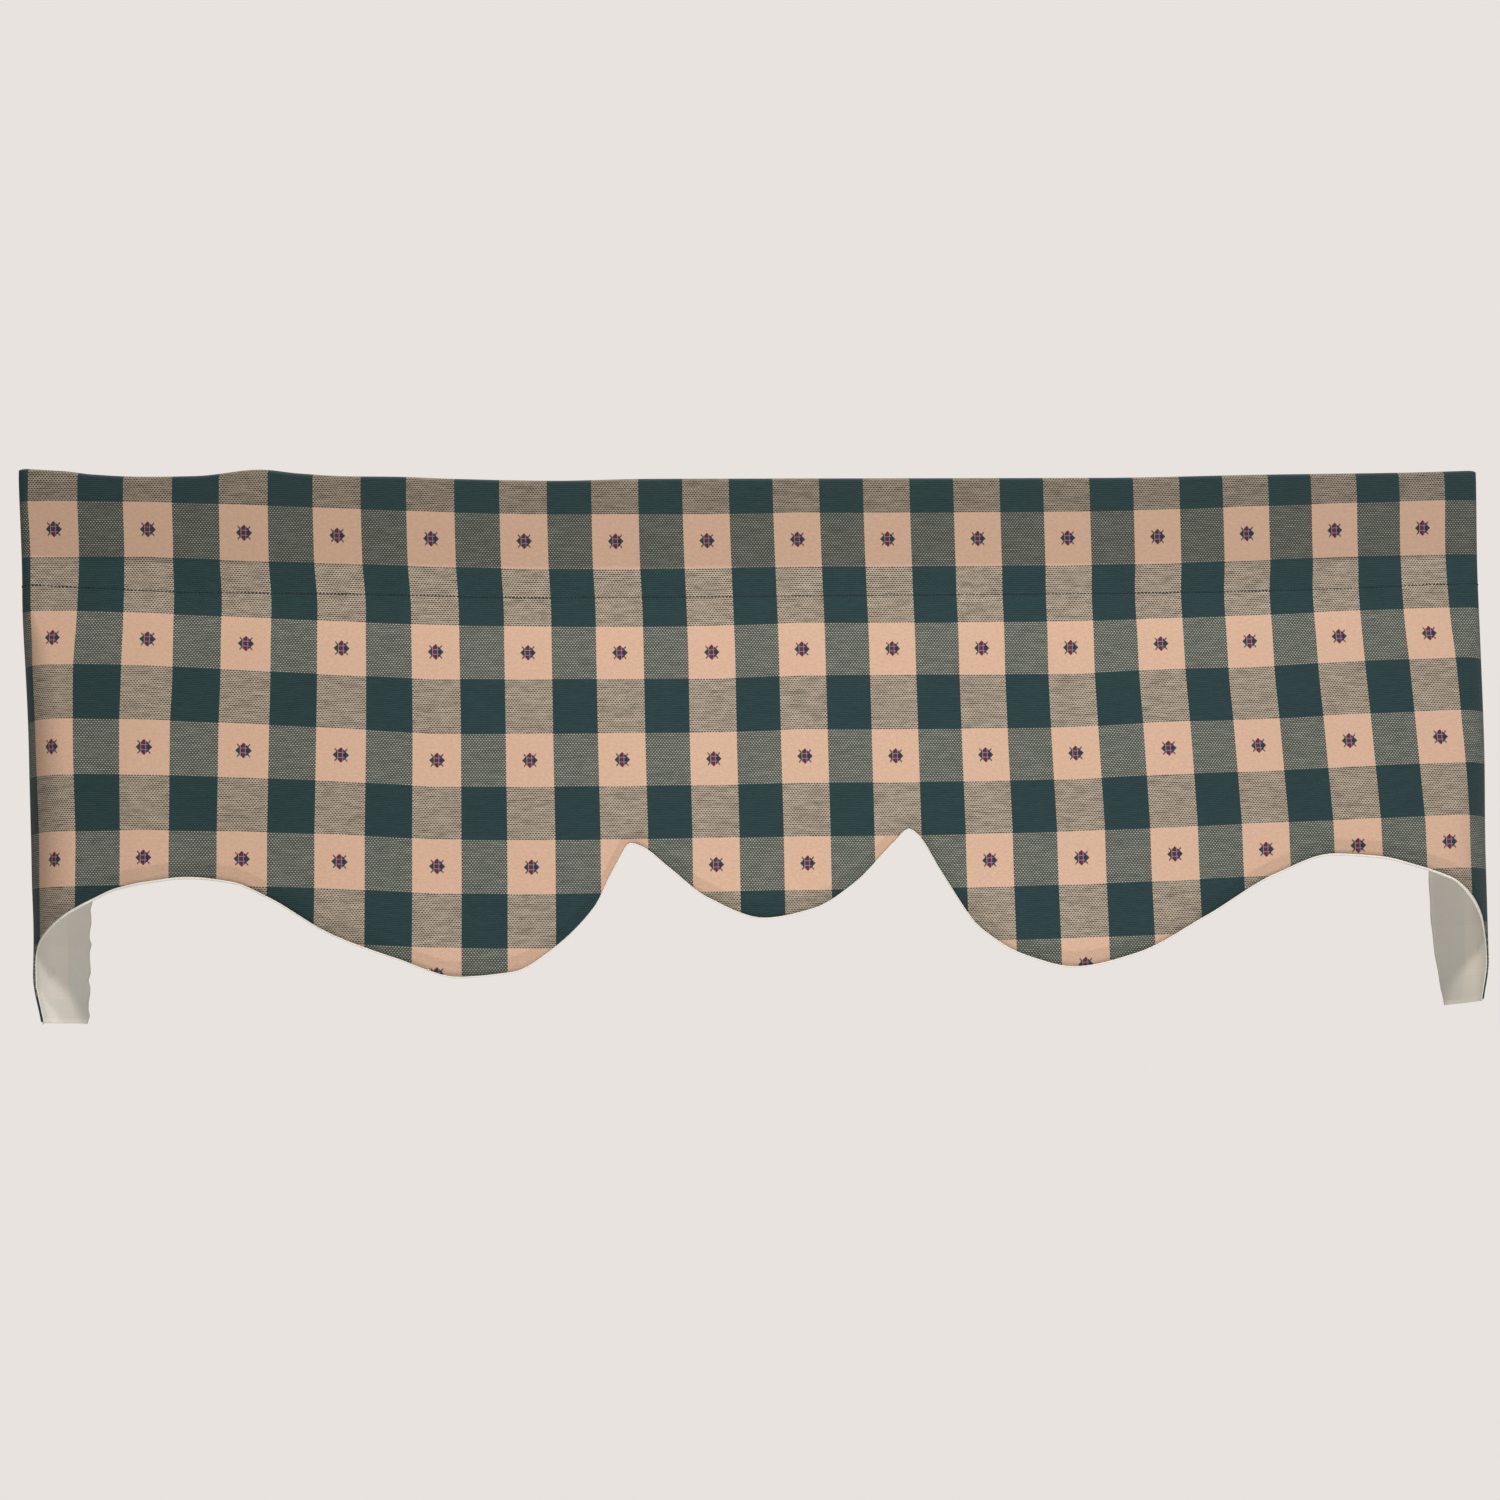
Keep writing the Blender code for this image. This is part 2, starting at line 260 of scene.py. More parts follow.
# %% Where a point of the cloth hangs
def front_sway(x, drop, hem):
    """How far the hanging cloth is behind the plane of the front."""
    below_stitch = drop - smooth_line(STITCH_LINE, x)
    reach = np.where(below_stitch > 0, RECESS_REACH, ROD_FOOT_ABOVE_STITCH)
    recess = STITCH_RECESS * (1 - ease(np.abs(below_stitch) / reach))
    across = math.pi * x / FRONT_HALF
    waves = sum(size * np.sin(count * across + start) for size, count, start in WAVES)
    flare = LOBE_FLARE * ease((drop - FLARE_DROP) / FLARE_FALL)
    near_corner = ease((np.abs(x) - FLAT_FROM) / FLAT_REACH)
    sway = (recess + waves * ease(below_stitch / WAVES_GROW_OVER) - flare) * (1 - near_corner)
    sway += waves_of(STITCH_PUCKERS, x) * np.exp(-np.abs(below_stitch) / PUCKER_REACH)
    return sway + waves_of(HEM_PUCKERS, x) * np.exp(-np.abs(hem - drop) / PUCKER_REACH)


class Column:
    """One line down the cloth: on the front, round a corner or along a return.

    Its place is the part of the way across the half front, round the turn or along the return.
    """

    def __init__(self, part, side, place, hem):
        self.part, self.side, self.place, self.hem = part, side, place, float(hem)
        # The top edge and the stitches are read at its place half-way down the pocket
        x = self.hang(0.0, POCKET_HEIGHT / 2)[0]
        self.top = float(smooth_line(TOP_LINE, x))
        self.stitch = float(smooth_line(STITCH_LINE, x))
        self.lining_hem = self.hem + float(smooth_line(LINING_SHOWS, self.along(self.hem)))

    def hang(self, inset, drop):
        """Where a point of this column is: the plan has the same form at every inset and drop."""
        plan = SidePlan(self.side, drop, inset)
        front_face = -POCKET_DEPTH / 2
        if self.part == "front":
            x = self.side * self.place * plan.start
            return x, front_face + inset + front_sway(x, drop, self.hem), -drop
        if self.part == "corner":
            outward, back = plan.point(self.place, 0)
            return self.side * outward, front_face + back, -drop
        outward, back = plan.point(1, self.place)
        below_pocket = ease((drop - POCKET_HEIGHT) / RETURN_WAVE_LENGTH)
        phase = 2 * math.pi * drop / RETURN_WAVE_LENGTH + self.side
        # The rear hem puckers the last third of the return
        puckers = waves_of(LEFT_EDGE_PUCKERS if self.side < 0 else RIGHT_EDGE_PUCKERS, drop)
        wave = RETURN_WAVE * self.place * np.sin(phase) + puckers * ease(3 * self.place - 2)
        return self.side * (outward + wave * below_pocket), front_face + back, -drop

    def along(self, drop):
        """How far round the cloth this column is from the middle, at a drop."""
        plan = SidePlan(self.side, drop, 0.0)
        if self.part == "front":
            return self.side * self.place * plan.start
        if self.part == "corner":
            return self.side * (plan.start + plan.radius * plan.turn * self.place)
        past = plan.radius * plan.turn + self.place * plan.straight
        return self.side * (plan.start + past)


middle_hem = float(smooth_line(HEM_LINE, 0.0))
sway = float(front_sway(0.0, middle_hem, middle_hem))
print("the middle of the hem hangs", round(1000 * sway, 1), "mm behind the plane of the front")

# %% Set out the columns, close enough for a smooth edge
COLUMN_STEP = 0.0045
CORNER_STEP = 0.02


def places_through(table, step):
    """The places in a table, and even steps between them where they are far apart."""
    places = [row[0] for row in table]
    found = places[:1]
    for start, end in zip(places, places[1:]):
        steps = math.ceil(round((end - start) / step, 3))
        found += [float(place) for place in np.linspace(start, end, steps + 1)[1:]]
    return found


def side_columns(side, corner_hem, rear_hem):
    """The columns of one side, from the start of its corner to the rear edge."""
    turns = places_through(corner_hem, CORNER_STEP)
    columns = [Column("corner", side, turn, smooth_line(corner_hem, turn)) for turn in turns]
    lower_edge = ((0, corner_hem[-1][1]), (1, rear_hem))
    for place in places_through(lower_edge, COLUMN_STEP / RETURN_DEPTH)[1:]:
        columns.append(Column("return", side, place, smooth_line(lower_edge, place)))
    return columns


def make_columns():
    """The columns of the cloth in order, from the left rear edge to the right one."""
    left = side_columns(-1, LEFT_CORNER_HEM, LEFT_REAR_HEM)
    front = []
    for x in places_through(HEM_LINE, COLUMN_STEP)[1:-1]:
        hem = float(smooth_line(HEM_LINE, x))
        side = -1 if x < 0 else 1
        front.append(Column("front", side, abs(x) / SidePlan(side, hem, 0.0).start, hem))
    right = side_columns(1, RIGHT_CORNER_HEM, RIGHT_REAR_HEM)
    return left[::-1] + front + right


columns = make_columns()
print(len(columns), "columns, from the left rear edge to the right one")

# %% [markdown]
# ## Threads run with the cloth
#
# A woven check isn't printed: it is where coloured threads cross, so it follows every pull on the
# cloth. A pattern on Object coordinates would run dead straight over the folds. Each point therefore
# carries its own place in the weave, in metres, as a UV map. The threads sag towards the middle and
# drift sideways, each by a centimetre or so, and two tables say where and by how much.

# %% Tables of how far the threads stand off their place
# Distances round the cloth from the middle
AROUND = (
    -0.63, -0.59, -0.53, -0.45, -0.37, -0.29, -0.21, -0.13, -0.05, 0.03, 0.11, 0.27, 0.35, 0.43,
    0.51, 0.61,
)
# Drop in metres, then to the nearest half millimetre how far the threads stand to the right of
# where they were woven, at each distance above
DRIFT = (
    (0.02, 1.5, 2, 1.5, 3.5, 2.5, 3, 3, 2.5, 1.5, 0.5, 0, -0.5, 0, 0, -0.5, -0.5),
    (0.07, 4.5, 4, 3, 4.5, 4, 4, 4, 3, 2.5, 1.5, 0.5, -0.5, -0.5, -0.5, -1.5, -2.5),
    (0.12, 5, 2.5, 3, 6, 7, 6.5, 6, 5, 4, 3, 2, -0.5, -1, -1.5, -1.5, -1),
    (0.17, 3.5, -0.5, 2.5, 5.5, 7, 7.5, 6.5, 5.5, 5, 3.5, 2.5, -1, -0.5, -1, 0.5, 3),
    (0.22, 4, 0, 0.5, 4, 6.5, 8, 7, 6, 5, 4, 3, 0, 1.5, 2, 4, 5.5),
    (0.31, 7.5, 3.5, 0.5, 2.5, 5, 7.5, 8, 7.5, 6, 5, 3.5, 3, 4.5, 6.5, 9, 10.5),
)
# The same for how far they stand higher than they were woven
SAG = (
    (0.02, 12, 12, 11, 8.5, 5, 1.5, -1, -1, -1.5, 0, -0.5, 0, 2, 5, 7.5, 10.5),
    (0.07, 13, 13, 13, 9, 6.5, 3.5, 1, 0.5, 1, 2, 2, 2.5, 3.5, 6, 9, 11),
    (0.12, 16, 16, 14, 10, 6, 2.5, 0.5, -0.5, 0, 2.5, 2, 2.5, 4.5, 7, 10.5, 13),
    (0.17, 16.5, 16.5, 15, 10.5, 5.5, 1.5, 0.5, 0, 0, 2.5, 2.5, 2, 5.5, 7, 11.5, 14.5),
    (0.22, 16, 16, 14.5, 11, 6, 0.5, -0.5, -1, -0.5, 2, 1, 1.5, 5, 7, 11, 14),
    (0.31, 12.5, 12.5, 13, 11, 7.5, 2.5, 0.5, 0, 1, 1.5, 1, 3, 5, 8.5, 11, 14),
)
# Above this place in the weave, the rod in the pocket stretches the check by this factor
POCKET_PULL_BELOW, POCKET_PULL = 0.1314, 1.07


def by_place(table, along, drop):
    """A length in metres from a table of millimetres by the drop and the distance round the cloth."""
    rows = smooth_values(table, drop)
    return np.array([np.interp(s, AROUND, row) for s, row in zip(along, rows)]) / 1000


print("the threads stand up to", max(max(row[1:]) for row in SAG), "mm high")


# %% Place of each point in the weave
def place_in_weave(column, points, drops, face_count):
    """(across, down) of each point of one column, in metres of flat cloth."""
    along = column.along(drops)
    across = along - by_place(DRIFT, along, drops)
    down = drops + by_place(SAG, along, drops)
    stretched = POCKET_PULL_BELOW + (down - POCKET_PULL_BELOW) / POCKET_PULL
    down = np.where(down > POCKET_PULL_BELOW, down, stretched)
    if face_count < len(points):
        # Over the fold and behind the rod, the threads go on by the length of the cloth
        steps = np.linalg.norm(np.diff(points[face_count - 1 :], axis=0), axis=1)
        down[face_count:] = down[face_count - 1] - np.cumsum(steps)
        across[face_count:] = across[face_count - 1]
    return across, down


middle = columns[len(columns) // 2]
print("the middle column starts", round(float(middle.along(middle.hem)), 3), "m round from the middle")

# %% [markdown]
# ## Cloth and lining
#
# The check cloth comes up the front, turns over the top and comes down behind the rod to the
# stitches. The lining hangs behind it, and its lower edge rolls forward a hair, so a pale line shows
# along the hem. Each could be cut from a plane and sculpted, but a grid of points that is placed row
# by row follows the rule above exactly. A Solidify modifier then gives the grid its thickness.

# %% Rows up one column of each layer: inset and drop
FALL_ROWS, CREASE_ROWS, POCKET_ROWS, FOLD_STEPS = 58, 7, 11, 12
FACE_COUNT = FALL_ROWS + CREASE_ROWS + POCKET_ROWS + FOLD_STEPS // 2
# The rod stops short of the corners, so the fold is pressed flatter there
CORNER_FOLD_RISE = 0.0018
# The turned seam rolls the edge of the lining forward under the cloth
LIP_FORWARD, LIP_BELOW = 0.0012, 0.0003
# and lets go of it between these parts of the way round each corner
LIP_HELD, LIP_GONE = 0.36, 0.53


def up_the_fall(column, inset, hem):
    """Even rows from a hem up to the line of stitches."""
    return [(inset, drop) for drop in np.linspace(hem, column.stitch, FALL_ROWS + 1)]


def face_rows(column):
    """(inset, drop) up the front of the check cloth, over its top fold and down behind the rod."""
    rod_foot = column.stitch - ROD_FOOT_ABOVE_STITCH
    flatter = {"front": 0.0, "corner": ease(column.place), "return": 1.0}[column.part]
    rise = FOLD_RISE + (CORNER_FOLD_RISE - FOLD_RISE) * flatter
    shoulder = column.top + rise
    # Up the fall, over the foot of the rod and up its face
    rows = up_the_fall(column, 0.0, column.hem)
    rows += [(0.0, drop) for drop in np.linspace(column.stitch, rod_foot, CREASE_ROWS)[1:]]
    rows += [(0.0, drop) for drop in np.linspace(rod_foot, shoulder, POCKET_ROWS)[1:-1]]
    # Half a turn over its top
    for turned in np.linspace(0, math.pi, FOLD_STEPS + 1):
        inset = POCKET_DEPTH / 2 * (1 - math.cos(turned))
        rows.append((inset, column.top + rise * (1 - math.sin(turned))))
    # Down its back, in to the stitches and a little past them
    rows += [(POCKET_DEPTH, drop) for drop in np.linspace(shoulder, rod_foot, POCKET_ROWS)[1:]]
    for part in np.linspace(0, 1, CREASE_ROWS)[1:]:
        inset = POCKET_DEPTH + (SEAM_BACK - POCKET_DEPTH) * part
        rows.append((inset, rod_foot + ROD_FOOT_ABOVE_STITCH * part))
    rows += [(SEAM_BACK, column.stitch + SEAM_TAIL * part) for part in (0.5, 1.0)]
    return rows


def lining_rows(column):
    """(inset, drop) up one column of the lining, from its lower edge to inside the seam."""
    past = (column.place - LIP_HELD) / (LIP_GONE - LIP_HELD)
    held = {"front": 1.0, "corner": 1 - ease(past), "return": 0.0}[column.part]
    forward = LIP_FORWARD * held
    lip = [(LINING_INSET - forward, drop) for drop in (column.lining_hem, column.hem + LIP_BELOW)]
    # The lip turns back behind the cloth just below its hem
    rows = up_the_fall(column, LINING_INSET, column.hem + LIP_BELOW / 3)
    return lip + rows + [(LINING_INSET, column.stitch - SEAM_TAIL / 2)]


LINING_COUNT = len(lining_rows(middle))
print("rows of cloth:", len(face_rows(middle)), "of which on the face:", FACE_COUNT)
print("rows of lining:", LINING_COUNT)

# %% [markdown]
# ## From points to cloth
#
# The cloth needs more than a shape. Its materials have to know where each point is in the weave, how
# far it is above the hem and how far below the foot of the rod. Painting masks by hand would do, but
# numbers kept on the points come straight from the rule that placed them.

# %% Add objects to the scene
def add_object(name, data):
    """Puts a mesh, a lamp or a camera in the scene, at the origin."""
    thing = bpy.data.objects.new(name, data)
    bpy.context.scene.collection.objects.link(thing)
    return thing


def add_grid(name, points):
    """A mesh of squares between neighbouring points, given as one list of points a column."""
    wide, high = len(points), len(points[0])
    index = np.arange(wide * high).reshape(wide, high)
    quads = np.stack([index[:-1, :-1], index[1:, :-1], index[1:, 1:], index[:-1, 1:]], axis=-1)
    mesh = bpy.data.meshes.new(name)
    mesh.from_pydata(np.concatenate(points).tolist(), [], quads.reshape(-1, 4).tolist())
    return mesh


# %% Make the two layers
def hang_layer(name, rows_of, face_count, thickness):
    """A grid of cloth with its place in the weave as its UV map."""
    points, weave, above_hem, below_foot = [], [], [], []
    for column in columns:
        inset, drop = np.array(rows_of(column)).T
        hung = np.stack(np.broadcast_arrays(*column.hang(inset, drop)), axis=1)
        across, down = place_in_weave(column, hung, drop, face_count)
        on_face = np.arange(len(drop)) < face_count
        points.append(hung)
        weave.append(np.stack([across, down], axis=1))
        above_hem.append(np.where(on_face, drop[0] - drop, 1.0))
        below_foot.append(np.where(on_face, drop - column.stitch + ROD_FOOT_ABOVE_STITCH, 1.0))
    mesh = add_grid(name, points)
    uv = mesh.uv_layers.new(name="weave")
    corners = np.empty(len(mesh.loops), dtype=np.int32)
    mesh.loops.foreach_get("vertex_index", corners)
    uv.data.foreach_set("uv", np.concatenate(weave)[corners].astype(np.float32).ravel())
    for label, values in (("above_hem", above_hem), ("below_foot", below_foot)):
        data = mesh.attributes.new(label, "FLOAT", "POINT")
        data.data.foreach_set("value", np.concatenate(values).astype(np.float32))
    mesh.shade_smooth()
    piece = add_object(name, mesh)
    solid = piece.modifiers.new("thickness", "SOLIDIFY")
    solid.thickness = thickness
    solid.offset = -1.0
    print(name, "is", len(mesh.polygons), "squares of grid before its thickness")
    return piece


woven_cloth = hang_layer("woven_cloth", face_rows, FACE_COUNT, CLOTH_THICKNESS)
lining_cloth = hang_layer("lining_cloth", lining_rows, LINING_COUNT, LINING_THICKNESS)

# %% [markdown]
# ## Nodes
#
# Materials and geometry are both trees of nodes. They could be wired by hand in the editor, but a
# tree written down can be read and repeated. One small function adds a node, gives it its settings,
# and fills its sockets in order with numbers or with links from other nodes.

# %% Add a node, and read a colour
def add_node(tree, kind, *inputs, **settings):
    """Adds one node. None leaves a socket alone, and a dict at the end fills sockets by name."""
    node = tree.nodes.new(kind)
    for name, value in settings.items():
        setattr(node, name, value)
    named = inputs[-1] if inputs and isinstance(inputs[-1], dict) else {}
    sockets = [socket for socket in node.inputs if socket.enabled]
    pairs = list(zip(sockets, inputs[: len(inputs) - bool(named)]))
    pairs += [(node.inputs[name], given) for name, given in named.items()]
    for socket, given in pairs:
        if isinstance(given, bpy.types.Node):
            given = next(out for out in given.outputs if out.enabled)
        if isinstance(given, bpy.types.NodeSocket):
            tree.links.new(given, socket)
        elif given is not None:
            socket.default_value = given
    return node


def linear(hex_colour):
    """An sRGB hex colour as the linear numbers that a shader mixes."""
    parts = [int(hex_colour[i : i + 2], 16) / 255 for i in (1, 3, 5)]
    bent = [p / 12.92 if p <= 0.04045 else ((p + 0.055) / 1.055) ** 2.4 for p in parts]
    return (*bent, 1.0)


def new_material(name):
    """A material with an empty tree of nodes."""
    material = bpy.data.materials.new(name)
    material.use_nodes = True
    material.node_tree.nodes.clear()
    return material, material.node_tree


print("mid grey, #808080, is", round(linear("#808080")[0], 3), "when linear")

# %% [markdown]
# ## Yarn-dyed check
#
# Both sets of threads are striped beige and dark green. Where beige crosses beige the square is
# plain beige, green on green is plain green, and a mixed square is speckled, where the crossing
# thread comes to the top. A painted texture would blur when seen close. The nodes ask instead which
# stripe each point is in, across and down, so the check stays sharp at any size.

# %% Sizes and colours of the check, in metres
CHECK_WIDE, CHECK_HIGH = 0.0802, 0.0932
FIRST_ACROSS, FIRST_DOWN = 0.0274, 0.1545
BEIGE_WIDE, BEIGE_HIGH = 0.0413, 0.0466
# For each square, by its warp and weft: the colour of its ground, that of the specks on it, and
# the painted shade that both are multiplied by over the pocket, where the rod stops the light from
# behind
SQUARES = {
    ("green", "green"): ("#1C3135", "#2E4645", 0.84),
    ("beige", "green"): ("#CCB8A2", "#504B3F", 0.63),
    ("green", "beige"): ("#454C45", "#B8B3A2", 0.66),
    ("beige", "beige"): ("#DCB498", "#DCB498", 0.76),
}
print("one repeat:", round(1000 * CHECK_WIDE, 1), "by", round(1000 * CHECK_HIGH, 1), "mm")


# %% Which stripe a point is in
def from_centre(tree, along, first, repeat):
    """How far each point is from the middle of its own beige stripe, in repeats from -0.5 to 0.5."""
    moved = add_node(tree, "ShaderNodeMath", along, -first, operation="ADD")
    scaled = add_node(tree, "ShaderNodeMath", moved, repeat, operation="DIVIDE")
    return add_node(tree, "ShaderNodeMath", scaled, 0.5, -0.5, operation="WRAP")


def within(tree, value, reach):
    """1 where a value is less than this far from 0, on either side."""
    away = add_node(tree, "ShaderNodeMath", value, operation="ABSOLUTE")
    return add_node(tree, "ShaderNodeMath", away, reach, operation="LESS_THAN")


print("beige takes", round(100 * BEIGE_WIDE / CHECK_WIDE), "percent of the width")

# %% [markdown]
# ## Specks, ribs and slubs
#
# In a mixed square the two yarns take turns on top. Seen from a step away that gives three things:
# specks in staggered rows, ribs where the rows of weft stand up, and dark or light streaks where a
# row's yarn is thicker or thinner, which spinners call slubs. One regular pattern would look
# printed, so the material adds up three and shows a speck where their sum is high. Single threads,
# at 0.6 mm, are too fine to show, so it draws a coarser step: 2.5 mm across and 1.6 mm down.

# %% Sizes of the specks
SPECKLE_ACROSS = CHECK_WIDE / 32
SPECKLE_DOWN = BEIGE_HIGH / 29
# Where the crossing thread starts to cover, on a green weft and on a beige one: it takes about
# half of the first square and a third of the second
SPECKS_FROM = (-0.375, -0.035)
SPECK_EDGE = 0.6
# How strongly the staggered specks, the ribs and the slubs show
SPECK_SHARE, RIB_SHARE, SLUB = 0.40, 0.30, 0.15
# A slub's length, and the detail of its noise
SLUB_LONG, SLUB_DETAIL = 0.014, 2.0
# Steps of noise from one row to the next, so that each row has a weft of its own
ROWS_APART = 7.3
# Noise runs from 0 to 1, but rarely leaves the middle
NOISE_LOW, NOISE_HIGH, NOISE_ROUGHNESS = 0.3, 0.7, 0.6
print("specks:", round(1000 * SPECKLE_ACROSS, 2), "by", round(1000 * SPECKLE_DOWN, 2), "mm")


# %% Draw the specks
def yarn_noise(tree, across, down, length, height, detail):
    """Uneven yarn: noise drawn out along the thread, from 0 to 1."""
    long = add_node(tree, "ShaderNodeMath", across, 1 / length, operation="MULTIPLY")
    high = add_node(tree, "ShaderNodeMath", down, 1 / height, operation="MULTIPLY")
    place = add_node(tree, "ShaderNodeCombineXYZ", long, high)
    return add_node(tree, "ShaderNodeTexNoise", {
        "Vector": place, "Scale": 1.0, "Detail": detail, "Roughness": NOISE_ROUGHNESS,
    })


def speckle(tree, across, down, start):
    """Where the crossing thread comes to the top: 1 on a speck, 0 between the specks."""
    turns = 2 * math.pi / SPECKLE_ACROSS
    side = add_node(tree, "ShaderNodeMath", across, turns, operation="MULTIPLY")
    side = add_node(tree, "ShaderNodeMath", side, operation="COSINE")
    # Rows are counted from the first one under a beige stripe, and every other row is staggered
    first_row = FIRST_DOWN + BEIGE_HIGH / 2 + SPECKLE_DOWN / 2
    moved = add_node(tree, "ShaderNodeMath", down, -first_row, operation="ADD")
    count = add_node(tree, "ShaderNodeMath", moved, SPECKLE_DOWN, operation="DIVIDE")
    fall = add_node(tree, "ShaderNodeMath", count, math.pi, operation="MULTIPLY")
    fall = add_node(tree, "ShaderNodeMath", fall, operation="COSINE")
    specks = add_node(tree, "ShaderNodeMath", side, fall, operation="MULTIPLY")
    # Each row of weft is a thread of its own, a little thicker in some places than in others
    row = add_node(tree, "ShaderNodeMath", count, operation="ROUND")
    slub = yarn_noise(tree, across, row, SLUB_LONG, 1 / ROWS_APART, SLUB_DETAIL)
    slub = add_node(
        tree, "ShaderNodeMapRange", slub, NOISE_LOW, NOISE_HIGH, -SLUB, SLUB, clamp=False
    )
    specks = add_node(tree, "ShaderNodeMath", specks, SPECK_SHARE, slub, operation="MULTIPLY_ADD")
    # and the rows stand up as ribs
    ribs = add_node(tree, "ShaderNodeMath", count, 2 * math.pi, operation="MULTIPLY")
    ribs = add_node(tree, "ShaderNodeMath", ribs, operation="COSINE")
    specks = add_node(tree, "ShaderNodeMath", ribs, RIB_SHARE, specks, operation="MULTIPLY_ADD")
    end = add_node(tree, "ShaderNodeMath", start, SPECK_EDGE, operation="ADD")
    return add_node(tree, "ShaderNodeMapRange", specks, start, end, interpolation_type="SMOOTHSTEP")


print("a mixed square holds about", round(BEIGE_HIGH / SPECKLE_DOWN), "rows of specks")

# %% [markdown]
# ## The beetle in each beige square
#
# A small beetle is woven where beige crosses beige. An embroidered patch would need a mesh for each
# of some sixty beetles. This one is part of the weave, so the material charts it as a weaver would: a
# diamond for the body, bands of yarn across it, two light threads and four legs, all in steps of one
# thread.

# %% Chart of the beetle, in millimetres from its middle
# Where each band of yarn starts, from left to right
BEETLE_BANDS = (
    (-7.0, "#2E403C"), (-3.1, "#9C8B92"), (-2.4, "#602B3A"), (1.3, "#94828E"), (2.0, "#302F4A"),
    (3.9, "#2E403C"),
)
BEETLE_SPAN = 7.0
BEETLE_HALF_WIDE, BEETLE_HALF_HIGH = 6.7, 7.2
# Two light threads, above and below the middle, and four legs on the diagonals
CROSSING_AWAY, CROSSING_HALF_HIGH, CROSSING_HALF_WIDE = 2.1, 0.42, 2.8
CROSSING_YARN = "#94828E"
LEG_HALF_WIDE, LEG_REACH = 0.62, 5.6
LEG_YARN = "#6B5650"
THREAD = 0.6
print("the beetle is", round(2 * BEETLE_HALF_WIDE / THREAD), "threads wide")


# %% Weave the beetle
def on_threads(tree, centred, repeat):
    """Millimetres from the middle of the square, in steps of one thread."""
    wide = add_node(tree, "ShaderNodeMath", centred, repeat * 1000, operation="MULTIPLY")
    stepped = add_node(tree, "ShaderNodeMath", wide, THREAD, operation="SNAP")
    return add_node(tree, "ShaderNodeMath", stepped, THREAD / 2, operation="ADD")


def band_colours(tree, x):
    """The colour of the beetle's band at each place across it."""
    spread = add_node(tree, "ShaderNodeMapRange", x, -BEETLE_SPAN, BEETLE_SPAN, 0.0, 1.0)
    ramp = add_node(tree, "ShaderNodeValToRGB", spread)
    ramp.color_ramp.interpolation = "CONSTANT"
    stops = ramp.color_ramp.elements
    for i, (start, colour) in enumerate(BEETLE_BANDS):
        place = (start + BEETLE_SPAN) / (2 * BEETLE_SPAN)
        # A new ramp has two stops already
        stop = stops[i] if i < 2 else stops.new(place)
        stop.position = place
        stop.color = linear(colour)
    return ramp


def weave_beetle(tree, ground, x, y, inside):
    """The ground colour with the beetle woven over it."""
    far_x = add_node(tree, "ShaderNodeMath", x, operation="ABSOLUTE")
    far_y = add_node(tree, "ShaderNodeMath", y, operation="ABSOLUTE")
    # The body is a diamond
    part_x = add_node(tree, "ShaderNodeMath", far_x, BEETLE_HALF_WIDE, operation="DIVIDE")
    part_y = add_node(tree, "ShaderNodeMath", far_y, BEETLE_HALF_HIGH, operation="DIVIDE")
    reach = add_node(tree, "ShaderNodeMath", part_x, part_y, operation="ADD")
    body = add_node(tree, "ShaderNodeMath", reach, 1.0, operation="LESS_THAN")
    body = add_node(tree, "ShaderNodeMath", body, inside, operation="MULTIPLY")
    # Two light threads cross its bands
    off = add_node(tree, "ShaderNodeMath", far_y, -CROSSING_AWAY, operation="ADD")
    line, near = within(tree, off, CROSSING_HALF_HIGH), within(tree, x, CROSSING_HALF_WIDE)
    line = add_node(tree, "ShaderNodeMath", line, near, operation="MULTIPLY")
    bands = band_colours(tree, x)
    banded = add_node(tree, "ShaderNodeMix", line, bands, linear(CROSSING_YARN), data_type="RGBA")
    # Four legs stand out from the corners
    slant = add_node(tree, "ShaderNodeMath", far_y, far_x, operation="SUBTRACT")
    leg, near = within(tree, slant, LEG_HALF_WIDE), within(tree, x, LEG_REACH)
    leg = add_node(tree, "ShaderNodeMath", leg, near, operation="MULTIPLY")
    leg = add_node(tree, "ShaderNodeMath", leg, inside, operation="MULTIPLY")
    legs = add_node(tree, "ShaderNodeMix", leg, ground, linear(LEG_YARN), data_type="RGBA")
    return add_node(tree, "ShaderNodeMix", body, legs, banded, data_type="RGBA")


print(len(BEETLE_BANDS), "bands of yarn cross the beetle")


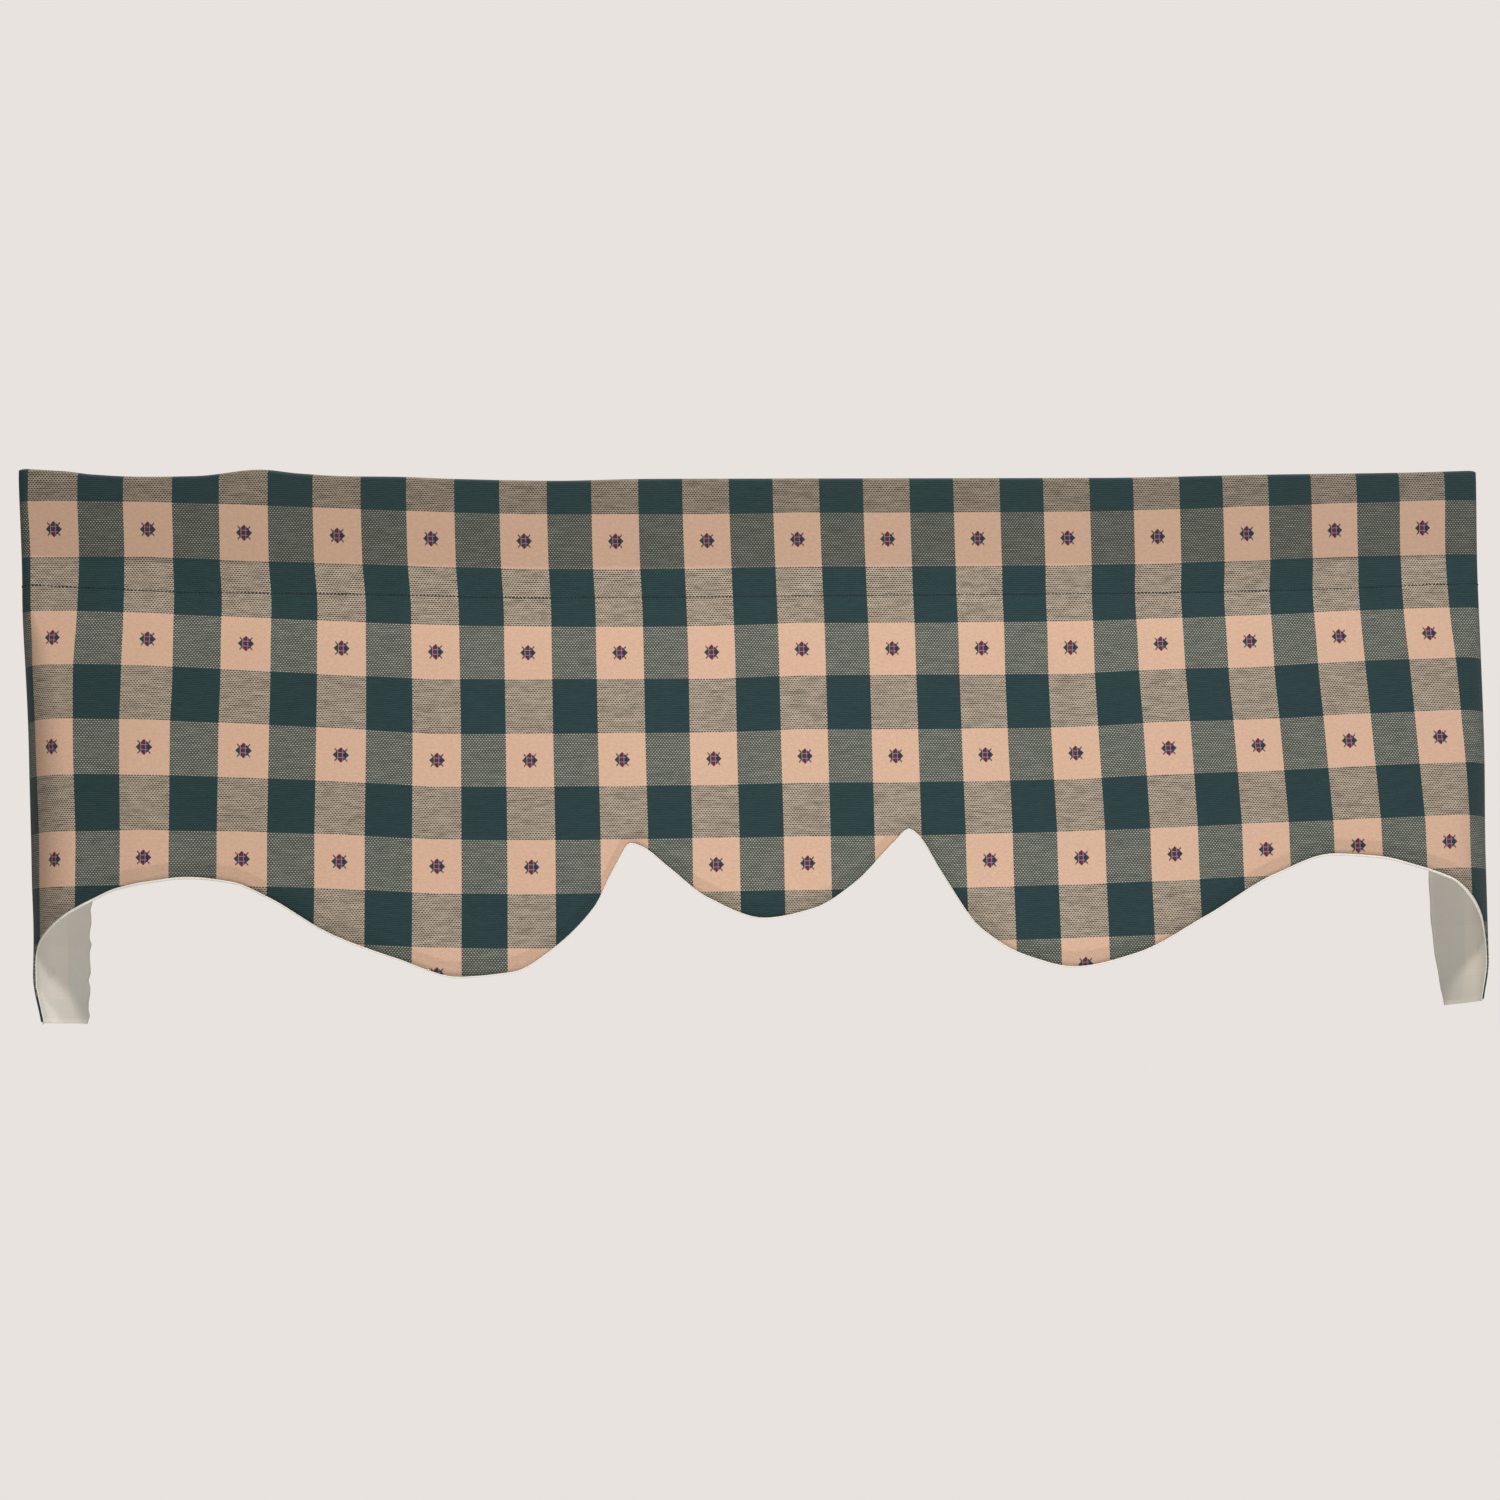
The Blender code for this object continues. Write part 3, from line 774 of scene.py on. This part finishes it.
# %% Put the check together
class Check:
    def __init__(self, tree):
        self.tree = tree
        weave = add_node(tree, "ShaderNodeUVMap", uv_map="weave")
        parts = add_node(tree, "ShaderNodeSeparateXYZ", weave)
        self.across, self.down = parts.outputs["X"], parts.outputs["Y"]
        self.centred_x = from_centre(tree, self.across, FIRST_ACROSS, CHECK_WIDE)
        self.centred_y = from_centre(tree, self.down, FIRST_DOWN, CHECK_HIGH)
        self.warp_beige = within(tree, self.centred_x, BEIGE_WIDE / CHECK_WIDE / 2)
        self.weft_beige = within(tree, self.centred_y, BEIGE_HIGH / CHECK_HIGH / 2)
        start = add_node(tree, "ShaderNodeMapRange", self.weft_beige, 0.0, 1.0, *SPECKS_FROM)
        self.specks = speckle(tree, self.across, self.down, start)

    def by_square(self, colours):
        """Picks one of four colours, given in the order of the table of squares."""
        on_green, on_beige = (
            add_node(self.tree, "ShaderNodeMix", self.warp_beige, *pair, data_type="RGBA")
            for pair in (colours[:2], colours[2:])
        )
        return add_node(
            self.tree, "ShaderNodeMix", self.weft_beige, on_green, on_beige, data_type="RGBA"
        )

    def colour(self):
        """The colour of the yarn that shows at each point."""
        grounds, crossings, _ = zip(*SQUARES.values())
        ground = self.by_square([linear(colour) for colour in grounds])
        crossing = self.by_square([linear(colour) for colour in crossings])
        yarn = add_node(
            self.tree, "ShaderNodeMix", self.specks, ground, crossing, data_type="RGBA"
        )
        x = on_threads(self.tree, self.centred_x, CHECK_WIDE)
        y = on_threads(self.tree, self.centred_y, CHECK_HIGH)
        beiges = (self.warp_beige, self.weft_beige)
        both = add_node(self.tree, "ShaderNodeMath", *beiges, operation="MULTIPLY")
        return weave_beetle(self.tree, yarn, x, y, both)


print("the check asks for", len(SQUARES), "kinds of square")

# %% [markdown]
# ## The cloth's material
#
# The pocket and the hem are doubled cloth with no light coming through them from behind, so they
# look darker than the single cloth between. Light that passes through cloth could be traced, but
# slowly and with noise. Instead their shade is painted into the colour, as a tint that follows the
# two numbers kept on the points.

# %% Shade and unevenness
# Painted shade where doubled cloth stops the light from behind. Where each shade ends and half the
# height over which it fades: at the foot of the rod, and at the seam allowance of the hem
ROD_SHADE_FROM, ROD_SHADE_SOFT = 0.001, 0.0025
SEAM_ALLOWANCE, HEM_SHADE_SOFT = 0.0127, 0.0012
HEM_PAINTED_SHADE = (0.87, 0.87, 0.87, 1.0)


def paint_shade(tree, colour, number, edge, soft, tint):
    """Painted shade: the colour times a tint where a number kept on the points is under an edge."""
    value = add_node(tree, "ShaderNodeAttribute", attribute_name=number).outputs["Fac"]
    clear = add_node(tree, "ShaderNodeMapRange", value, edge - soft, edge + soft)
    deep = add_node(
        tree, "ShaderNodeMix", 1.0, colour, tint, data_type="RGBA", blend_type="MULTIPLY"
    )
    return add_node(tree, "ShaderNodeMix", clear, deep, colour, data_type="RGBA")


def vary(tree, colour, noise, share):
    """Makes the colour up to this share lighter or darker, as the noise goes."""
    grey = add_node(
        tree, "ShaderNodeMapRange", noise, NOISE_LOW, NOISE_HIGH, 1 - share, 1 + share, clamp=False
    )
    grey = add_node(tree, "ShaderNodeCombineXYZ", grey, grey, grey)
    return add_node(
        tree, "ShaderNodeMix", 1.0, colour, grey, data_type="RGBA", blend_type="MULTIPLY"
    )


print("seam allowance:", 1000 * SEAM_ALLOWANCE, "mm")

# %% Yarn-dyed cotton
# Cotton is matt: its fibres scatter the light, so it is rough, with a weak highlight and a faint
# sheen where it turns away. Its yarn is uneven, in patches a few threads wide. A single thread would
# be too fine to show, so each pattern is drawn two to four threads high
MOTTLE_SIZE, MOTTLE = (0.0040, 0.0022, 4.0), 0.07
CLOTH_RELIEF_SIZE, SPECK_RELIEF = (0.0030, 0.0012, 2.0), 0.5
cloth_material, tree = new_material("yarn-dyed check cotton")
check = Check(tree)
mottle = yarn_noise(tree, check.across, check.down, *MOTTLE_SIZE)
colour = vary(tree, check.colour(), mottle, MOTTLE)
# Painted shade over the pocket, by kind of square, where the rod stops light from behind
pocket_painted_shade = check.by_square([(depth, depth, depth, 1.0) for _, _, depth in SQUARES.values()])
colour = paint_shade(tree, colour, "below_foot", ROD_SHADE_FROM, ROD_SHADE_SOFT, pocket_painted_shade)
# Painted shade along the seam allowance of the hem, where doubled cloth stops light from behind
colour = paint_shade(tree, colour, "above_hem", SEAM_ALLOWANCE, HEM_SHADE_SOFT, HEM_PAINTED_SHADE)
relief = yarn_noise(tree, check.across, check.down, *CLOTH_RELIEF_SIZE)
relief = add_node(
    tree, "ShaderNodeMath", check.specks, SPECK_RELIEF, relief, operation="MULTIPLY_ADD"
)
bump = add_node(tree, "ShaderNodeBump", {"Strength": 0.35, "Distance": 0.0004, "Height": relief})
surface = add_node(tree, "ShaderNodeBsdfPrincipled", {
    "Base Color": colour, "Roughness": 0.88, "Specular IOR Level": 0.25, "Sheen Weight": 0.12,
    "Sheen Roughness": 0.5, "Normal": bump,
})
add_node(tree, "ShaderNodeOutputMaterial", surface)
woven_cloth.data.materials.append(cloth_material)
print(cloth_material.name, "has", len(tree.nodes), "nodes")

# %% [markdown]
# ## Cotton lining
#
# The lining is a light plain-woven cotton, thin enough for the dark squares to show faintly through
# it. Real see-through cloth would need light to be traced through two layers. The lining lies on the
# same weave, so its material can simply ask the same check where the squares are.

# %% Plain cotton
# Its yarn is finer than the check cloth's, so it is a little smoother and shows less relief. Its
# patches are drawn 1 mm high, coarser than its threads, so that they show
LINING_YARN = "#F6EEDF"
SHOW_THROUGH = 0.13
# The turned edge is doubled, so nothing shows through it up to this height
TURNED_FROM, TURNED_TO = 0.003, 0.005
CLOUD_SIZE, CLOUD = (0.0022, 0.0011, 3.0), 0.03
LINING_RELIEF_SIZE = (0.0060, 0.0010, 2.0)
lining_material, tree = new_material("plain cotton lining")
check = Check(tree)
height = add_node(tree, "ShaderNodeAttribute", attribute_name="above_hem").outputs["Fac"]
show = add_node(tree, "ShaderNodeMapRange", height, TURNED_FROM, TURNED_TO, 0.0, SHOW_THROUGH)
yarn = linear(LINING_YARN)
colour = add_node(tree, "ShaderNodeMix", show, yarn, check.colour(), data_type="RGBA")
cloud = yarn_noise(tree, check.across, check.down, *CLOUD_SIZE)
colour = vary(tree, colour, cloud, CLOUD)
relief = yarn_noise(tree, check.across, check.down, *LINING_RELIEF_SIZE)
bump = add_node(tree, "ShaderNodeBump", {"Strength": 0.25, "Distance": 0.0003, "Height": relief})
surface = add_node(tree, "ShaderNodeBsdfPrincipled", {
    "Base Color": colour, "Roughness": 0.82, "Specular IOR Level": 0.3, "Sheen Weight": 0.08,
    "Sheen Roughness": 0.5, "Normal": bump,
})
add_node(tree, "ShaderNodeOutputMaterial", surface)
lining_cloth.data.materials.append(lining_material)
print(lining_material.name, "has", len(tree.nodes), "nodes")

# %% [markdown]
# ## The line of stitches
#
# One row of lockstitch runs the whole way round and closes the rod pocket. Each stitch could be
# placed by hand, or by a loop that makes hundreds of objects. It repeats along a line, which is what
# Geometry Nodes are for: the line is cut into equal lengths, and each cut gets one small
# thread-shaped mesh, turned along the line.

# %% Sizes and thread
THREAD_WIDE, STITCH_PITCH, STITCH_LONG = 0.0012, 0.0032, 0.0028
# A ball of one metre, which is squeezed to the size of a stitch
BALL_SEGMENTS, BALL_RINGS, BALL_RADIUS = 7, 5, 0.5
# How deep the thread lies in the cloth
STITCH_SUNK = 0.00005
# Spun polyester is a smooth hard yarn, so it is less rough than the cotton and catches more light
thread_material, tree = new_material("spun polyester thread")
surface = add_node(tree, "ShaderNodeBsdfPrincipled", {
    "Base Color": linear("#1F2B2A"), "Roughness": 0.6, "Specular IOR Level": 0.4,
})
add_node(tree, "ShaderNodeOutputMaterial", surface)
print("gap between stitches:", round(1000 * (STITCH_PITCH - STITCH_LONG), 2), "mm")


# %% A tree that lays stitches along a line
def stitch_tree(material):
    """Nodes that cut a line into equal lengths and lay a stitch on each."""
    tree = bpy.data.node_groups.new("lay_stitches", "GeometryNodeTree")
    sockets = tree.interface
    sockets.new_socket("Line", in_out="INPUT", socket_type="NodeSocketGeometry")
    for name in ("Pitch", "Long", "Wide"):
        sockets.new_socket(name, in_out="INPUT", socket_type="NodeSocketFloat")
    sockets.new_socket("Stitches", in_out="OUTPUT", socket_type="NodeSocketGeometry")
    given = add_node(tree, "NodeGroupInput").outputs
    line = add_node(tree, "GeometryNodeMeshToCurve", given["Line"])
    cut = add_node(tree, "GeometryNodeResampleCurve", line, None, given["Pitch"], mode="LENGTH")
    tangent = add_node(tree, "GeometryNodeInputTangent")
    turn = add_node(tree, "FunctionNodeAlignRotationToVector", {"Vector": tangent}, axis="X")
    ball = add_node(tree, "GeometryNodeMeshUVSphere", BALL_SEGMENTS, BALL_RINGS, BALL_RADIUS)
    size = add_node(tree, "ShaderNodeCombineXYZ", given["Long"], given["Wide"], given["Wide"])
    laid = add_node(tree, "GeometryNodeInstanceOnPoints", {
        "Points": cut, "Instance": ball, "Rotation": turn, "Scale": size,
    })
    real = add_node(tree, "GeometryNodeRealizeInstances", laid)
    named = add_node(tree, "GeometryNodeSetMaterial", real, None, material)
    add_node(tree, "NodeGroupOutput", named)
    return tree


stitch_nodes = stitch_tree(thread_material)
print("the stitch tree has", len(stitch_nodes.nodes), "nodes")


# %% Lay the stitches on the front, and where they come through behind
def lay_stitches(name, inset):
    """One line of stitches round the whole cloth, as a plain mesh."""
    path = [[float(n) for n in column.hang(inset, column.stitch)] for column in columns]
    line = bpy.data.meshes.new(name + "_line")
    line.from_pydata(path, [(i, i + 1) for i in range(len(path) - 1)], [])
    guide = add_object(name + "_line", line)
    modifier = guide.modifiers.new("stitches", "NODES")
    modifier.node_group = stitch_nodes
    sizes = {"Pitch": STITCH_PITCH, "Long": STITCH_LONG, "Wide": THREAD_WIDE}
    for socket in stitch_nodes.interface.items_tree:
        if socket.name in sizes:
            modifier[socket.identifier] = sizes[socket.name]
    graph = bpy.context.evaluated_depsgraph_get()
    mesh = bpy.data.meshes.new_from_object(guide.evaluated_get(graph))
    bpy.data.objects.remove(guide)
    mesh.name = name
    mesh.shade_smooth()
    print(name, "has", len(mesh.polygons), "faces")
    return add_object(name, mesh)


front_stitches = lay_stitches("front_stitches", STITCH_SUNK)
back_stitches = lay_stitches("back_stitches", SEAM_BACK + CLOTH_THICKNESS - STITCH_SUNK)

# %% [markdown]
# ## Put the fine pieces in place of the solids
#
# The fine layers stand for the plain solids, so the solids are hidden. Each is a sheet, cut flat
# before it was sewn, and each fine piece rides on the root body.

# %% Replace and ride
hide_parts("check_cloth")
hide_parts("lining")
for piece, slot in (
    (woven_cloth, "woven_check"), (lining_cloth, "lining_cotton"),
    (front_stitches, "woven_check"), (back_stitches, "woven_check"),
):
    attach(piece, "root")

# %% [markdown]
# ## Room and light
#
# The valance hangs in the air, as its rod holds it, over a plain pale floor. One broad lamp would
# light it evenly and hide its shape. So two small key lamps stand high in front, left and right:
# they throw the soft shadow of the hem on the inside of each return. A broad lamp low in front fills
# the lobes, and a large one overhead lights the floor, and the lining from behind.

# %% Floor and world
# Matt paint is even and rough, so the floor has no shine of its own
FLOOR_DROP, FLOOR_RADIUS, FLOOR_SIDES = 1.55, 2.0, 96
floor_material, tree = new_material("pale painted floor")
surface = add_node(
    tree, "ShaderNodeBsdfPrincipled", {"Base Color": linear("#E9E4E0"), "Roughness": 0.9}
)
add_node(tree, "ShaderNodeOutputMaterial", surface)
turns = np.linspace(0, 2 * math.pi, FLOOR_SIDES + 1)[:-1]
rim = [(FLOOR_RADIUS * math.cos(t), FLOOR_RADIUS * math.sin(t), -FLOOR_DROP) for t in turns]
floor_mesh = bpy.data.meshes.new("floor")
floor_mesh.from_pydata(rim, [], [list(range(len(rim)))])
floor_mesh.materials.append(floor_material)
add_object("floor", floor_mesh)

# The world looks pale to the camera but lights the cloth only faintly, so the shadows stay
SEEN_STRENGTH, LIGHT_STRENGTH = 1.0, 0.07
world = bpy.data.worlds.new("pale studio")
world.use_nodes = True
bpy.context.scene.world = world
tree = world.node_tree
tree.nodes.clear()
seen = add_node(tree, "ShaderNodeBackground", linear("#E8E3DF"), SEEN_STRENGTH)
light = add_node(tree, "ShaderNodeBackground", linear("#F4F2F0"), LIGHT_STRENGTH)
path = add_node(tree, "ShaderNodeLightPath").outputs["Is Camera Ray"]
mixed = add_node(tree, "ShaderNodeMixShader", path, light, seen)
add_node(tree, "ShaderNodeOutputWorld", mixed)
bpy.context.scene.view_settings.view_transform = "Standard"
print("floor is", FLOOR_DROP, "m below the top edge")

# %% Lamps: name, place, where it is aimed, size, power and colour
MIDDLE, FLOOR_MIDDLE = Vector((0.0, 0.0, -0.25)), Vector((0.0, 1.2, -FLOOR_DROP))
LAMPS = (
    ("left_key", (-0.38, -1.15, 0.92), MIDDLE, 0.18, 12.8, "#FFFCF6"),
    ("right_key", (1.25, -1.15, 0.92), MIDDLE, 0.18, 16.7, "#F8FBFF"),
    ("low_fill", (0.08, -1.15, -1.05), MIDDLE, 0.50, 9.3, "#F4F9FF"),
    ("overhead", (0.00, 1.20, 2.60), FLOOR_MIDDLE, 1.60, 62.0, "#FFFFFF"),
)
for name, place, aim, size, power, colour in LAMPS:
    lamp = bpy.data.lights.new(name, "AREA")
    lamp.shape, lamp.size, lamp.energy, lamp.color = "DISK", size, power, linear(colour)[:3]
    holder = add_object(name, lamp)
    holder.location = place
    holder.rotation_euler = (aim - Vector(place)).to_track_quat("-Z", "Y").to_euler()
print(len(LAMPS), "lamps")

# %% [markdown]
# ## Camera
#
# The camera looks slightly up and to the right, and is a little out of level. Its turn could be
# given as three angles in Blender's order, but those are hard to follow, so it is built from the
# direction it looks in, the level line across it and its roll.

# %% Set up the camera
YAW, PITCH, ROLL = math.radians(2.75), math.radians(3.95), math.radians(0.96)
CAMERA_PLACE = (-0.08968, -1.48826, -0.48704)
SENSOR_WIDE = 36.0
# In pixels of the square frame: its side, the focal length, and the row that the lens faces
FRAME_SIDE, FOCAL_LENGTH, LENS_ROW = 1500, 1725, 916
forward = Vector((
    math.sin(YAW) * math.cos(PITCH), math.cos(YAW) * math.cos(PITCH), math.sin(PITCH)
))
level = Vector((math.cos(YAW), -math.sin(YAW), 0.0))
upright = level.cross(forward)
right = math.cos(ROLL) * level - math.sin(ROLL) * upright
up = math.sin(ROLL) * level + math.cos(ROLL) * upright
view = bpy.data.cameras.new("view")
view.sensor_width = SENSOR_WIDE
view.lens = SENSOR_WIDE * FOCAL_LENGTH / FRAME_SIDE
view.shift_y = (LENS_ROW - FRAME_SIDE / 2) / FRAME_SIDE
camera = add_object("view", view)
turn = Matrix((right, up, -forward)).transposed().to_4x4()
camera.matrix_world = Matrix.Translation(CAMERA_PLACE) @ turn
bpy.context.scene.camera = camera
print("lens", round(view.lens, 1), "mm")
